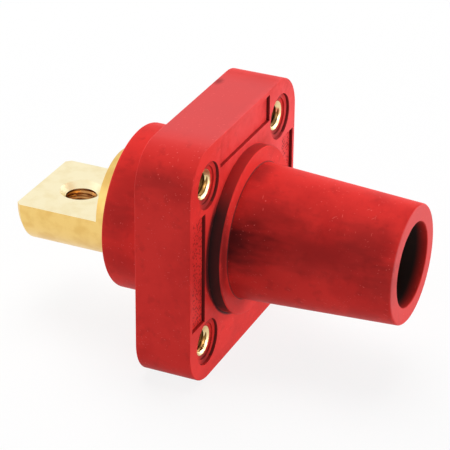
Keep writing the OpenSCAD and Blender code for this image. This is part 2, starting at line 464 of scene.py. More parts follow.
@dataclass(frozen=True)
class MouldedElastomer:
    """Satin red elastomer with a moulded grain, patches of painted shade with some grime and of painted
    sheen, dust, short scuffs, painted shade in the corners, and a bore darkened by painted shade.

    Where a field holds a pair for a fade, the first value is where the mask is 0 and the second is
    where it is 1. Heights at the collar's foot are shares of the collar's radius.
    """

    bore_r: float
    tip_y: float
    collar_r: float
    front_y: float
    # Colours of the moulding, of what lies on it, and of the painted shade and sheen
    deep: Colour = (0.62, 0.028, 0.025)
    bright: Colour = (0.74, 0.037, 0.032)
    dust: Colour = (0.92, 0.20, 0.19)
    scuff: Colour = (0.90, 0.17, 0.16)
    # Near-black painted shade for the bore and the moulding's corners
    painted_deep_shade: Colour = (0.034, 0.024, 0.024)
    stipple: Colour = (0.18, 0.010, 0.010)
    tint: Colour = (0.42, 0.020, 0.018)
    # Painted shade with some grime, for the dark patches and the collar's foot
    shade_and_grime: Colour = (0.075, 0.010, 0.011)
    # Dust with a painted sheen on the flange's top and the nose's tip
    bloom: Colour = (0.68, 0.085, 0.086)
    # Pale pink painted sheen
    haze: Colour = (0.88, 0.10, 0.104)
    # Clean moulding
    blotches: Pattern = Pattern(0.085, 5.0, 0.33, 0.55)
    smears: Pattern = Pattern(0.33, 5.0, 0.54, 0.72)
    smear_share: float = 0.3
    # Where the dust and painted sheen lies: strongest in the middle and higher up
    dust_and_sheen_across: Point = (28.0, 14.0)
    dust_and_sheen_heights: Point = (-18.0, 8.0)
    dust_and_sheen_shares: Point = (0.35, 0.85)
    # Patches of painted shade with some grime, and of painted sheen
    painted_patches: tuple[PaintedPatch, ...] = NOSE_PATCHES + FLANGE_AND_BOSS_PATCHES + FRONT_FACE_SHEEN
    patch_stretch: Triple = (1.0, 0.3, 1.0)
    patch_noise: Pattern = Pattern(0.45, 6.0)
    patch_ragged: float = 0.4
    patch_fade: Point = (1.15, 0.1)
    patch_edge: float = 0.2
    # Painted shade at the collar's foot
    foot_w: float = 2.4
    foot_core: float = 0.3
    foot_narrowing: Point = (-0.6, -0.2)
    foot_least: float = 0.4
    foot_top: Point = (0.8, 0.5)
    foot_film: Point = (0.1, 0.05)
    # Dust, scuffs and stipple
    dusty: Pattern = Pattern(0.06, 2.0, 0.36, 0.58)
    specks: Flecks = Flecks(0.62, 0.15, 0.24)
    fine_specks: Flecks = Flecks(1.3, 0.18, 0.12)
    speck_share: float = 0.55
    scuffs: Flecks = Flecks(1.0, 0.19, 0.2)
    scuff_stretch: Triple = (0.24, 1.5, 1.5)
    scuff_turns: tuple[Triple, ...] = ((20.0, 35.0, 0.0), (70.0, -40.0, 25.0), (-35.0, 15.0, 70.0))
    scuff_share: float = 0.6
    stippling: Flecks = Flecks(1.55, 0.56, 0.8)
    stipple_share: float = 0.75
    # Shade inside the bore
    bore_edge: Point = (0.35, 0.05)
    bore_fade: Point = (-0.3, 3.3)
    # Sheen and relief
    gloss: float = 0.045
    roughness: float = 0.46
    roughness_play: float = 0.07
    mark_roughness: float = 0.2
    grain: Pattern = Pattern(5.0, 2.0)
    grain_strength: float = 0.25
    grain_depth: float = 0.02
    ripple: Pattern = Pattern(0.5, 3.0)
    ripple_strength: float = 0.12
    ripple_depth: float = 0.12

    def radius(self, sheet: NodeSheet, plain: Socket) -> Socket:
        """Distance from the part's axis.

        Args:
            sheet: The material's nodes.
            plain: Object coordinates in millimetres.

        Returns:
            The distance in millimetres.
        """
        axes = sheet.axes(plain)
        flat = sheet.add("ShaderNodeCombineXYZ", X=axes["X"], Z=axes["Z"])
        return sheet.vector("LENGTH", flat.outputs[0]).outputs["Value"]

    def worn(self, sheet: NodeSheet, plain: Socket) -> tuple[Socket, Socket]:
        """Dust specks and short scuffs, gathered in patches.

        Args:
            sheet: The material's nodes.
            plain: Object coordinates in millimetres.

        Returns:
            Masks of the specks and of the scuffs.
        """
        patches = sheet.patches(plain, self.dusty)
        coarse, fine = sheet.flecks(plain, self.specks), sheet.flecks(plain, self.fine_specks)
        scuffs: object = 0.0
        for turn in self.scuff_turns:
            streaks = sheet.flecks(sheet.millimetres(self.scuff_stretch, turn), self.scuffs)
            scuffs = sheet.math("MAXIMUM", scuffs, streaks)
        return sheet.times(sheet.math("MAXIMUM", coarse, fine), patches), sheet.times(scuffs, patches)

    def moulded(self, sheet: NodeSheet, plain: Socket, blotch: Socket) -> Socket:
        """The clean moulding's colour: blotches, faint smears, and dust with a painted sheen on marked
        faces.

        Args:
            sheet: The material's nodes.
            plain: Object coordinates in millimetres.
            blotch: Value of the blotches.

        Returns:
            The colour.
        """
        spread = sheet.ramp(blotch, self.blotches.clear, self.blotches.full)
        base = sheet.mix(spread, self.deep, self.bright)
        smear = sheet.patches(plain, self.smears)
        base = sheet.mix(sheet.times(smear, self.smear_share), base, self.tint)
        axes = sheet.axes(plain)
        middle = sheet.ramp(sheet.math("ABSOLUTE", axes["X"]), *self.dust_and_sheen_across)
        raised = sheet.span(sheet.ramp(axes["Z"], *self.dust_and_sheen_heights), *self.dust_and_sheen_shares)
        bloom = sheet.times(sheet.times(sheet.mark(DUST_AND_SHEEN), middle), raised)
        return sheet.mix(bloom, base, self.bloom)

    def with_patches(self, sheet: NodeSheet, plain: Socket, base: Socket) -> Socket:
        """Lays each patch over the base colour, with a ragged edge: painted shade with some grime, and
        painted sheen.

        Args:
            sheet: The material's nodes.
            plain: Object coordinates in millimetres.
            base: The colour so far.

        Returns:
            The colour with its patches.
        """
        colours = {PatchTint.DIRT: self.shade_and_grime, PatchTint.HAZE: self.haze}
        noise = sheet.noise(sheet.millimetres(self.patch_stretch), self.patch_noise)
        ragged = sheet.span(noise, -self.patch_ragged, self.patch_ragged)
        radius = self.radius(sheet, plain)
        for patch in self.painted_patches:
            near = sheet.add("ShaderNodeMapping", {"vector_type": "TEXTURE"}, Vector=plain)
            near.inputs["Location"].default_value = patch.place
            near.inputs["Scale"].default_value = patch.reach
            away = sheet.vector("LENGTH", near.outputs[0]).outputs["Value"]
            share = sheet.ramp(sheet.math("ADD", away, ragged), *self.patch_fade)
            inside = sheet.ramp(radius, patch.within + self.patch_edge, patch.within)
            share = sheet.times(sheet.times(share, inside), patch.share)
            base = sheet.mix(share, base, colours[patch.tint])
        return base

    def collar_foot_shade(self, sheet: NodeSheet, plain: Socket) -> Socket:
        """Mask of the painted shade on the flange's front face where the collar stands on it.

        Args:
            sheet: The material's nodes.
            plain: Object coordinates in millimetres.

        Returns:
            1 in the corner, and 0 away from it and towards the top.
        """
        axes = sheet.axes(plain)
        height = sheet.math("DIVIDE", axes["Z"], self.collar_r)
        beyond = sheet.math("SUBTRACT", self.radius(sheet, plain), self.collar_r)
        width = sheet.span(sheet.ramp(height, *self.foot_narrowing), self.foot_least, 1.0)
        near = sheet.ramp(sheet.math("DIVIDE", beyond, width), self.foot_w, self.foot_core * self.foot_w)
        depth = sheet.math("ABSOLUTE", sheet.math("SUBTRACT", axes["Y"], self.front_y))
        on_face = sheet.times(near, sheet.ramp(depth, *self.foot_film))
        return sheet.times(on_face, sheet.ramp(height, *self.foot_top))

    def bore(self, sheet: NodeSheet, plain: Socket) -> Socket:
        """Mask of the painted shade in the nose's bore, which darkens from the mouth inwards.

        Args:
            sheet: The material's nodes.
            plain: Object coordinates in millimetres.

        Returns:
            0 outside the bore and 1 deep inside it.
        """
        outer, inner = (self.bore_r + each for each in self.bore_edge)
        mouth, deep = (self.tip_y + each for each in self.bore_fade)
        inside = sheet.ramp(self.radius(sheet, plain), outer, inner)
        return sheet.times(inside, sheet.ramp(sheet.axes(plain)["Y"], mouth, deep))

    def material(self) -> Finish:
        """Builds the finish.

        Returns:
            The material.
        """
        material, sheet, shader = new_material("red_elastomer")
        plain = sheet.millimetres()
        blotch = sheet.noise(plain, self.blotches)
        specks, scuffs = self.worn(sheet, plain)
        stipple = sheet.times(sheet.mark(STIPPLED), sheet.flecks(plain, self.stippling))
        base = self.with_patches(sheet, plain, self.moulded(sheet, plain, blotch))
        for mask, share, colour in (
            # Painted shade at the collar's foot
            (self.collar_foot_shade(sheet, plain), 1.0, self.shade_and_grime),
            (specks, self.speck_share, self.dust),
            (scuffs, self.scuff_share, self.scuff),
            (stipple, self.stipple_share, self.stipple),
            # Painted shade in the bore and in the moulding's corners
            (sheet.math("MAXIMUM", self.bore(sheet, plain), sheet.mark(HOLLOW)), 1.0, self.painted_deep_shade),
        ):
            base = sheet.mix(sheet.times(mask, share), base, colour)
        sheet.feed(shader.inputs["Base Color"], base)
        shader.inputs["Specular IOR Level"].default_value = self.gloss
        smooth, rough = self.roughness - self.roughness_play, self.roughness + self.roughness_play
        marks = sheet.times(sheet.math("MAXIMUM", specks, scuffs), self.mark_roughness)
        uneven = sheet.math("ADD", sheet.span(blotch, smooth, rough), marks)
        sheet.feed(shader.inputs["Roughness"], uneven)
        grain = sheet.bump(sheet.noise(plain, self.grain), self.grain_strength, self.grain_depth)
        waves = sheet.noise(plain, self.ripple)
        ripple = sheet.bump(waves, self.ripple_strength, self.ripple_depth, grain)
        sheet.feed(shader.inputs["Normal"], ripple)
        return material


@dataclass(frozen=True)
class MachinedBrass:
    """Bright brass with the fine lines that the tool leaves.

    The lines are a noise pattern, with its units for each millimetre along X, Y and Z.
    """

    name: str
    bright: Colour
    dull: Colour
    roughness: float
    lines: Triple
    clouds: Pattern = Pattern(0.22, 4.0, 0.42, 0.68)
    grooves: Pattern = Pattern(1.0, 2.0, 0.55, 0.8)
    groove_share: float = 0.25
    groove_strength: float = 0.3
    groove_depth: float = 0.015
    smoother: float = 0.05
    rougher: float = 0.08

    def material(self) -> Finish:
        """Builds the finish.

        Returns:
            The material.
        """
        material, sheet, shader = new_material(self.name)
        clouds = sheet.noise(sheet.millimetres(), self.clouds)
        dulled = sheet.ramp(clouds, self.clouds.clear, self.clouds.full)
        grooves = sheet.noise(sheet.millimetres(self.lines), self.grooves)
        scored = sheet.ramp(grooves, self.grooves.clear, self.grooves.full)
        base = sheet.mix(dulled, self.bright, self.dull)
        base = sheet.mix(sheet.times(scored, self.groove_share), base, self.dull)
        sheet.feed(shader.inputs["Base Color"], base)
        shader.inputs["Metallic"].default_value = 1.0
        uneven = sheet.span(clouds, self.roughness - self.smoother, self.roughness + self.rougher)
        sheet.feed(shader.inputs["Roughness"], uneven)
        relief = sheet.bump(grooves, self.groove_strength, self.groove_depth)
        sheet.feed(shader.inputs["Normal"], relief)
        return material


TURNED = MachinedBrass("turned_brass", (0.87, 0.60, 0.20), (0.79, 0.51, 0.15), 0.33, (0.04, 7.0, 0.04))
# A paler copy of the brass for the terminal's flat, partly a painted highlight
MILLED = MachinedBrass("milled_brass", (0.96, 0.86, 0.57), (0.91, 0.79, 0.48), 0.34, (0.15, 5.0, 5.0))
FACED = MachinedBrass("faced_brass", (0.86, 0.69, 0.37), (0.80, 0.60, 0.28), 0.36, (3.0, 3.0, 3.0))
THREADED = MachinedBrass("threaded_brass", (0.56, 0.27, 0.09), (0.40, 0.17, 0.05), 0.3, (2.0, 2.0, 2.0))
# A darker copy of the threaded brass: painted shade inside the inserts' holes
SHADED = MachinedBrass("shaded_thread", (0.28, 0.14, 0.04), (0.07, 0.035, 0.015), 0.32, (2.0, 2.0, 2.0))


def eased(value: float) -> float:
    """Eases a value from 0 to 1 in and out, clamped at both ends."""
    held = min(1.0, max(0.0, value))
    return held * held * (3.0 - 2.0 * held)


def arc(centre: Point, radius: float, start: float, end: float, steps: int = 6) -> list[Point]:
    """Points along an arc.

    Args:
        centre: The arc's centre.
        radius: Its radius.
        start: Angle of the first point, in degrees from the first axis.
        end: Angle of the last point.
        steps: Number of straight steps.

    Returns:
        The points, both ends included.
    """
    angles = [math.radians(start + (end - start) * step / steps) for step in range(steps + 1)]
    return [(centre[0] + radius * math.cos(a), centre[1] + radius * math.sin(a)) for a in angles]


def new_object(name: str, data: bpy.types.ID) -> Piece:
    """Makes an object at the origin and links it to the scene.

    Args:
        name: The object's name.
        data: Its mesh, light or camera.

    Returns:
        The object.
    """
    made = bpy.data.objects.new(name, data)
    bpy.context.scene.collection.objects.link(made)
    return made


def discard(used: Piece) -> None:
    """Removes an object that is used up, with its mesh.

    Args:
        used: The object.
    """
    mesh = used.data
    bpy.data.objects.remove(used)
    bpy.data.meshes.remove(mesh)


def solid(name: str, points: list[Vector], faces: list[list[int]]) -> Piece:
    """Makes a closed mesh object with its faces pointing outwards.

    Args:
        name: The object's name.
        points: Vertices in millimetres.
        faces: Vertex numbers of each face.

    Returns:
        The object, linked to the scene.
    """
    mesh = bpy.data.meshes.new(name)
    mesh.from_pydata([tuple(point * MM) for point in points], [], faces)
    sheet = bmesh.new()
    sheet.from_mesh(mesh)
    bmesh.ops.recalc_face_normals(sheet, faces=sheet.faces)
    sheet.to_mesh(mesh)
    sheet.free()
    return new_object(name, mesh)


def revolve(name: str, section: list[Point], segments: int, at: Point = (0.0, 0.0)) -> Piece:
    """Turns a closed section round an axis along Y.

    Args:
        name: The object's name.
        section: Corners as (radius, y); corners of radius 0 lie on the axis.
        segments: Steps round the axis.
        at: X and Z of the axis.

    Returns:
        The turned solid.
    """
    points: list[Vector] = []
    rings: list[list[int]] = []
    for radius, y in section:
        if radius == 0:
            rings.append([len(points)] * segments)
            points.append(Vector((at[0], y, at[1])))
            continue
        rings.append(list(range(len(points), len(points) + segments)))
        for step in range(segments):
            angle = math.tau * step / segments
            points.append(Vector((at[0] + radius * math.cos(angle), y, at[1] + radius * math.sin(angle))))
    faces = []
    for ring, after in zip(rings, rings[1:] + rings[:1]):
        for step in range(segments):
            turn = (step + 1) % segments
            corners = list(dict.fromkeys((ring[step], ring[turn], after[turn], after[step])))
            if len(corners) > 2:
                faces.append(corners)
    return solid(name, points, faces)


def rod(name: str, radius: float, ends: Point, segments: int, at: Point = (0.0, 0.0)) -> Piece:
    """Makes a round rod along Y.

    Args:
        name: The object's name.
        radius: The rod's radius.
        ends: Y of its two ends.
        segments: Steps round its axis.
        at: X and Z of its axis.

    Returns:
        The rod.
    """
    first, last = ends
    return revolve(name, [(0.0, first), (radius, first), (radius, last), (0.0, last)], segments, at)


def block(name: str, low: Vector, high: Vector) -> Piece:
    """Makes a box between two corners.

    Args:
        name: The object's name.
        low: Lowest corner in millimetres.
        high: Highest corner.

    Returns:
        The box.
    """
    ends = (low, high)
    points = [Vector((ends[i].x, ends[j].y, ends[k].z)) for i in (0, 1) for j in (0, 1) for k in (0, 1)]
    faces = [[0, 1, 3, 2], [4, 6, 7, 5], [0, 4, 5, 1], [2, 3, 7, 6], [0, 2, 6, 4], [1, 5, 7, 3]]
    return solid(name, points, faces)


def settle(piece: Piece) -> None:
    """Turns a piece's modifiers into plain mesh.

    Args:
        piece: The piece that is changed.
    """
    graph = bpy.context.evaluated_depsgraph_get()
    shaped = piece.evaluated_get(graph)
    mesh = bpy.data.meshes.new_from_object(shaped, preserve_all_data_layers=True, depsgraph=graph)
    piece.modifiers.clear()
    old, piece.data = piece.data, mesh
    bpy.data.meshes.remove(old)
    mesh.name = piece.name


def combine(piece: Piece, other: Piece, cut: Cut) -> None:
    """Joins another solid to a piece, or removes it from the piece, and uses the other up.

    Args:
        piece: The solid that is changed.
        other: The second solid.
        cut: What is done with it.
    """
    boolean = piece.modifiers.new("combine", "BOOLEAN")
    boolean.operation = cut.value
    boolean.solver = "EXACT"
    boolean.material_mode = "TRANSFER"
    boolean.object = other
    settle(piece)
    discard(other)


def soften(piece: Piece, width: float, angle: float = 35.0, segments: int = 2) -> None:
    """Breaks a piece's sharp edges with a narrow round.

    Args:
        piece: The solid that is changed.
        width: Width of the round in millimetres.
        angle: Least angle between faces, in degrees, that counts as sharp.
        segments: Steps across the round.
    """
    bevel = piece.modifiers.new("soften", "BEVEL")
    bevel.limit_method = "ANGLE"
    bevel.angle_limit = math.radians(angle)
    bevel.width = width * MM
    bevel.segments = segments
    bevel.use_clamp_overlap = True
    settle(piece)


def shade(piece: Piece, sharp: float = 50.0) -> None:
    """Smooths a piece's shading, with flat faces kept flat and sharp edges kept sharp.

    Args:
        piece: The piece.
        sharp: Least angle between faces, in degrees, that stays sharp.
    """
    piece.data.shade_smooth()
    piece.data.set_sharp_from_angle(angle=math.radians(sharp))
    normals = piece.modifiers.new("normals", "WEIGHTED_NORMAL")
    normals.keep_sharp = True
    settle(piece)


def dress(piece: Piece, *finishes: Finish) -> None:
    """Gives a piece its finishes, in place of any that it has.

    Args:
        piece: The piece.
        *finishes: Its materials in order.
    """
    piece.data.materials.clear()
    for finish in finishes:
        piece.data.materials.append(finish)


def seat(piece: Piece, node: str) -> None:
    """Rides a piece on the part's body in place of its solid.

    Args:
        piece: The finished piece.
        node: The solid that it stands for.
    """
    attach(piece, BODY)
    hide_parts(node)
    LOG.info("%s: %d faces for %s", piece.name, len(piece.data.polygons), node)


@dataclass(frozen=True)
class Thread:
    """Sizes of an internal thread."""

    crest_r: float
    depth: float
    pitch: float
    segments: int


class ThreadTap:
    """Node tree that makes a threaded plug, upright on Z, to be cut out of a hole."""

    STEPS_PER_TURN = 10
    INPUTS = {
        "Crest Radius": "NodeSocketFloat",
        "Thread Depth": "NodeSocketFloat",
        "Pitch": "NodeSocketFloat",
        "Length": "NodeSocketFloat",
        "Run Out": "NodeSocketFloat",
        "Segments": "NodeSocketInt",
        "Rows": "NodeSocketInt",
        "Finish": "NodeSocketMaterial",
    }

    def __init__(self) -> None:
        """Builds the tree with named inputs for the thread's sizes."""
        self.tree = bpy.data.node_groups.new("thread_tap", "GeometryNodeTree")
        self.sockets: dict[str, str] = {}
        for name, kind in self.INPUTS.items():
            socket = self.tree.interface.new_socket(name, in_out="INPUT", socket_type=kind)
            self.sockets[name] = socket.identifier
        self.tree.interface.new_socket("Plug", in_out="OUTPUT", socket_type="NodeSocketGeometry")
        self._fill()

    def _fill(self) -> None:
        """Adds the nodes: a cylinder whose wall is pushed out along a helix."""
        sheet = NodeSheet(self.tree)
        given = sheet.add("NodeGroupInput").outputs
        plug = sheet.add(
            "GeometryNodeMeshCylinder",
            {"fill_type": "NGON"},
            Vertices=given["Segments"],
            Side_Segments=given["Rows"],
            Radius=given["Crest Radius"],
            Depth=given["Length"],
        )
        place = sheet.add("GeometryNodeInputPosition").outputs[0]
        axes = sheet.axes(place)
        turn = sheet.math("DIVIDE", sheet.math("ARCTAN2", axes["Y"], axes["X"]), math.tau)
        climb = sheet.math("DIVIDE", axes["Z"], given["Pitch"])
        phase = sheet.math("FRACT", sheet.math("SUBTRACT", climb, turn))
        flank = sheet.math("ABSOLUTE", sheet.math("SUBTRACT", sheet.times(phase, 2.0), 1.0))
        form = sheet.ramp(flank, 0.0, 1.0)
        half = sheet.times(given["Length"], 0.5)
        inset = sheet.math("SUBTRACT", half, sheet.math("ABSOLUTE", axes["Z"]))
        fade = sheet.math("MINIMUM", sheet.math("DIVIDE", inset, given["Run Out"]), 1.0)
        reach = sheet.times(sheet.times(form, fade), given["Thread Depth"])
        outward = sheet.vector("MULTIPLY", place, (1.0, 1.0, 0.0))
        unit = sheet.vector("NORMALIZE", outward.outputs[0])
        push = sheet.vector("SCALE", unit.outputs[0])
        sheet.feed(push.inputs["Scale"], reach)
        moved = sheet.add("GeometryNodeSetPosition", Geometry=plug.outputs["Mesh"], Offset=push.outputs[0])
        whole = sheet.add("GeometryNodeRealizeInstances", Geometry=moved.outputs[0])
        dressed = sheet.add("GeometryNodeSetMaterial", Geometry=whole.outputs[0], Material=given["Finish"])
        sheet.feed(sheet.add("NodeGroupOutput").inputs[0], dressed.outputs[0])

    def plug(self, thread: Thread, length: float, finish: Finish) -> Piece:
        """Makes a threaded plug.

        Args:
            thread: The thread's sizes.
            length: Length of the plug in millimetres.
            finish: Material of the threaded wall.

        Returns:
            The plug, centred on the origin along Z.
        """
        made = new_object("thread_plug", bpy.data.meshes.new("thread_plug"))
        modifier = made.modifiers.new("thread", "NODES")
        modifier.node_group = self.tree
        values = {
            "Crest Radius": thread.crest_r * MM,
            "Thread Depth": thread.depth * MM,
            "Pitch": thread.pitch * MM,
            "Length": length * MM,
            "Run Out": thread.pitch * MM,
            "Segments": thread.segments,
            "Rows": round(length / thread.pitch * self.STEPS_PER_TURN),
            "Finish": finish,
        }
        for name, value in values.items():
            modifier[self.sockets[name]] = value
        settle(made)
        return made


@dataclass(frozen=True)
class Shank:
    """The contact's hidden length, which the moulding grips: a waisted bar and a narrower barrel."""

    waist_len: float = 8.0
    waist_depth: float = 1.6
    barrel_r: float = 12.0

    def wall(self, sizes: FrameSizes, gap: float = 0.0) -> list[Point]:
        """The outside of the shank from its waist forward to the mouth.

        Args:
            sizes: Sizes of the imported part.
            gap: Radial growth for the seat in the moulding.

        Returns:
            Corners as (radius, y).
        """
        outer, barrel = sizes.bar_r + gap, self.barrel_r + gap
        waist, front = outer - self.waist_depth, -FLANGE_THICK
        low, high = (front - self.waist_len) / 2, (front + self.waist_len) / 2
        corners = [(outer, high), (waist, high), (waist, low), (outer, low), (outer, front)]
        return corners + [(barrel, front), (barrel, sizes.mouth_y)]


@dataclass(frozen=True)
class Insert:
    """A threaded brass insert moulded into the flange."""

    sizes: FrameSizes
    groove: float = 0.5
    groove_w: float = 3.0
    chamfer: float = 1.0
    thread_depth: float = 0.6
    pitch: float = 1.27
    segments: int = 64
    over: float = 1.0
    facing_front: float = 0.5

    def centre(self, side: Side, level: Level) -> Point:
        """X and Z of a fixing hole."""
        return side.value * self.sizes.pitch / 2, level.value * self.sizes.pitch / 2

    def nearest(self, place: Vector) -> Point:
        """X and Z of the fixing hole that is nearest to a place."""
        holes = [self.centre(side, level) for side in Side for level in Level]
        return min(holes, key=lambda hole: math.dist((place.x, place.z), hole))

    def outside(self, gap: float = 0.0) -> list[Point]:
        """The outside wall from back to front, with its retaining groove.

        Args:
            gap: Radial growth for the seat in the moulding.

        Returns:
            Corners as (radius, y).
        """
        outer, front = self.sizes.insert_r + gap, self.sizes.insert_y
        neck = outer - self.groove
        low, high = (front + self.groove_w) / 2, (front - self.groove_w) / 2
        return [(outer, 0.0), (outer, low), (neck, low), (neck, high), (outer, high), (outer, front)]

    def blank(self) -> Piece:
        """Turns an insert on the axis, with its bore and chamfer but no thread yet.

        Returns:
            The blank.
        """
        bore, front = self.sizes.hole_r, self.sizes.insert_y
        section = [(bore, 0.0), *self.outside()]
        section += [(bore + self.chamfer, front), (bore, front + self.chamfer)]
        return revolve("insert", section, self.segments)

    def build(self, tap: ThreadTap, wall: Finish, face: Finish, thread: Finish) -> None:
        """Builds, threads and seats the four inserts.

        Args:
            tap: Makes the thread's plug.
            wall: Finish of the turned wall.
            face: Finish of the front face and its chamfer.
            thread: Finish of the threaded wall.
        """
        master = self.blank()
        dress(master, wall, face)
        for each in master.data.polygons:
            each.material_index = int(each.normal.y < -self.facing_front)
        length = -self.sizes.insert_y
        sizes = Thread(self.sizes.hole_r, self.thread_depth, self.pitch, self.segments)
        plug = tap.plug(sizes, length + 2 * self.over, thread)
        plug.data.transform(Matrix.Translation((0.0, -length / 2 * MM, 0.0)) @ UPRIGHT_TO_AXIS)
        combine(master, plug, Cut.REMOVE)
        shade(master)
        for level in reversed(Level):
            for side in Side:
                node = f"insert_{level.name.lower()}_{side.name.lower()}"
                x, z = self.centre(side, level)
                mesh = master.data.copy()
                mesh.transform(Matrix.Translation((x * MM, 0.0, z * MM)))
                seat(new_object(f"threaded_{node}", mesh), node)
        discard(master)


@dataclass(frozen=True)
class CornerShade:
    """How dark the moulding's corners are painted, where 0 is unshaded and 1 is dark: painted shade in the
    corners.

    Round the inserts the painted shade gathers above and below, by a power of how upright a spot lies. On
    the collar's wall it sets in below a height and ends above another, as shares of the collar's radius.
    """

    root: float = 0.6
    recess_floor: float = 0.6
    recess_power: int = 6
    step_least: float = 0.2
    step_more: float = 0.5
    step_power: int = 4
    ledge: float = 0.3
    wall: float = 0.7
    wall_deeper: float = 0.25
    collar_least: float = 0.44
    collar_more: float = 0.55
    collar_top: float = 0.90
    collar_top_fade: float = 0.36
    collar_bottom: float = -0.60
    collar_bottom_fade: float = 0.25
    collar_forward: float = 0.10

    def on_collar(self, height: float, forward: float) -> float:
        """How dark the collar's wall is painted, as painted shade.

        Args:
            height: Height as a share of the collar's radius.
            forward: Place along the wall, from 0 at its foot to 1 at its front edge.

        Returns:
            The share of dirt.
        """
        below = eased((self.collar_top - height) / self.collar_top_fade)
        past = eased((self.collar_bottom - height) / self.collar_bottom_fade)
        dark = self.collar_least + self.collar_more * below * (1.0 - past)
        return dark * (1.0 - self.collar_forward * forward)


@dataclass(frozen=True)
class Moulding:
    """The red moulded body: flange, boss, collar and hollow nose.

    The last four fields tell faces apart by how much of the normal lies along an axis.
    """

    sizes: FrameSizes
    shank: Shank
    insert: Insert
    # Painted shade in the moulding's corners
    dirt: CornerShade = CornerShade()
    front_y: float = -FLANGE_THICK
    corner_r: float = 10.8
    edge_r: float = 0.3
    pocket_len: float = 29.7
    pocket_w: float = 7.1
    pocket_rim: float = 1.35
    pocket_depth: float = 0.9
    recess_r: float = 6.0
    recess_depth: float = 0.8
    step_r: float = 4.8
    collar_r: float = 21.6
    collar_h: float = 3.2
    nose_root_r: float = NOSE_ROOT_R
    nose_tip_r: float = 15.2
    nose_edge_r: float = 0.6
    mouth_edge_r: float = 0.3
    collar_edge_r: float = 0.35
    root_r: float = 0.25
    boss_edge_r: float = 0.6
    gap: float = 0.04
    over: float = 1.0
    soft_edge: float = 0.16
    segments: int = 160
    hole_segments: int = 64
    seat_segments: int = 72
    corner_steps: int = 14
    leaning: float = 0.3
    facing_up: float = 0.5
    facing_front: float = 0.8
    square: float = 0.9

    @property
    def collar_y(self) -> float:
        """Y of the collar's front face."""
        return self.front_y - self.collar_h

    def plate(self) -> Piece:
        """Lofts the flange from its outline, which draws in along the rounded edges.

        Returns:
            The flange with a hole for the turned middle.
        """
        edge = self.edge_r
        rear = [(edge - x, -edge + y) for x, y in arc((0.0, 0.0), edge, 90.0, 0.0)]
        front = [(inset, self.front_y - y) for inset, y in reversed(rear)]
        points: list[Vector] = []
        rings = []
        for inset, y in rear + front:
            outline = self.outline(inset)
            rings.append(list(range(len(points), len(points) + len(outline))))
            points += [Vector((x, y, z)) for x, z in outline]
        faces = [rings[0], rings[-1]]
        for ring, after in zip(rings, rings[1:]):
            for step, turn in zip(range(len(ring)), [*range(1, len(ring)), 0]):
                faces.append([ring[step], ring[turn], after[turn], after[step]])
        made = solid("moulded_body", points, faces)
        middle_r = (self.sizes.bar_r + self.sizes.boss_r) / 2
        hole = rod("hole", middle_r, (self.over, self.front_y - self.over), self.hole_segments)
        combine(made, hole, Cut.REMOVE)
        return made

    def outline(self, inset: float) -> list[Point]:
        """The flange's outline, drawn in by an inset.

        Args:
            inset: How far the outline is drawn in.

        Returns:
            Points round the outline as (x, z).
        """
        centre = self.sizes.side / 2 - self.corner_r
        radius = self.corner_r - inset
        points: list[Point] = []
        for corner, (x, z) in enumerate(((1, 1), (-1, 1), (-1, -1), (1, -1))):
            start = 90.0 * corner
            points += arc((x * centre, z * centre), radius, start, start + 90.0, self.corner_steps)
        return points

    def turned_middle(self) -> Piece:
        """Turns the boss, collar and nose as one ring round the contact's seat.

        Returns:
            The ring.
        """
        size, edge = self.sizes, self.nose_edge_r
        taper = math.atan2(self.nose_root_r - self.nose_tip_r, self.collar_y - size.tip_y)
        lean = math.degrees(taper)

        def side_r(y: float) -> float:
            """Radius of the tapered side at a place along the axis."""
            return self.nose_root_r - (self.collar_y - y) * math.tan(taper)

        root_y, tip_y = self.collar_y - self.root_r, size.tip_y + edge
        root_x = side_r(root_y) + self.root_r / math.cos(taper)
        tip_x = side_r(tip_y) - edge / math.cos(taper)
        middle_y = self.front_y / 2
        boss_edge, collar_edge, mouth = self.boss_edge_r, self.collar_edge_r, self.mouth_edge_r
        section = [(size.bar_r + self.gap, size.boss_y)]
        section += arc((size.boss_r - boss_edge, size.boss_y - boss_edge), boss_edge, 90.0, 0.0)
        section += [(size.boss_r, middle_y), (self.collar_r, middle_y)]
        section += arc((self.collar_r - collar_edge, self.collar_y + collar_edge), collar_edge, 0.0, -90.0)
        section += arc((root_x, root_y), self.root_r, 90.0, 180.0 + lean)
        section += arc((tip_x, tip_y), edge, -lean, -90.0)
        section += arc((size.nose_bore_r + mouth, size.tip_y + mouth), mouth, -90.0, -180.0)
        section.append((size.nose_bore_r, size.mouth_y))
        section += reversed(self.shank.wall(size, self.gap))
        return revolve("turned_middle", section, self.segments)

    def seat_cutter(self, side: Side, level: Level) -> Piece:
        """The hole for one insert, with the stepped recess in front of it.

        Args:
            side: The hole's side.
            level: The hole's level.

        Returns:
            The cutter.
        """
        recess_y, out_y = self.front_y + self.recess_depth, self.front_y - self.over
        wall = self.insert.outside(self.gap)
        section = [(0.0, self.over), (wall[0][0], self.over), *wall]
        section += [(self.step_r, self.sizes.insert_y), (self.step_r, recess_y)]
        section += [(self.recess_r, recess_y), (self.recess_r, out_y), (0.0, out_y)]
        return revolve("seat", section, self.seat_segments, self.insert.centre(side, level))

    def pocket_cutter(self, place: PocketPlace) -> Piece:
        """The shallow pocket along one side of the front face.

        Args:
            place: Which side.

        Returns:
            The cutter.
        """
        top = self.sizes.side / 2 - self.pocket_rim
        half = self.pocket_len / 2
        low = Vector((-half, self.front_y - self.over, top - self.pocket_w))
        high = Vector((half, self.front_y + self.pocket_depth, top))
        made = block("pocket", low, high)
        made.data.transform(Matrix.Rotation(math.radians(place.value), 4, "Y"))
        return made

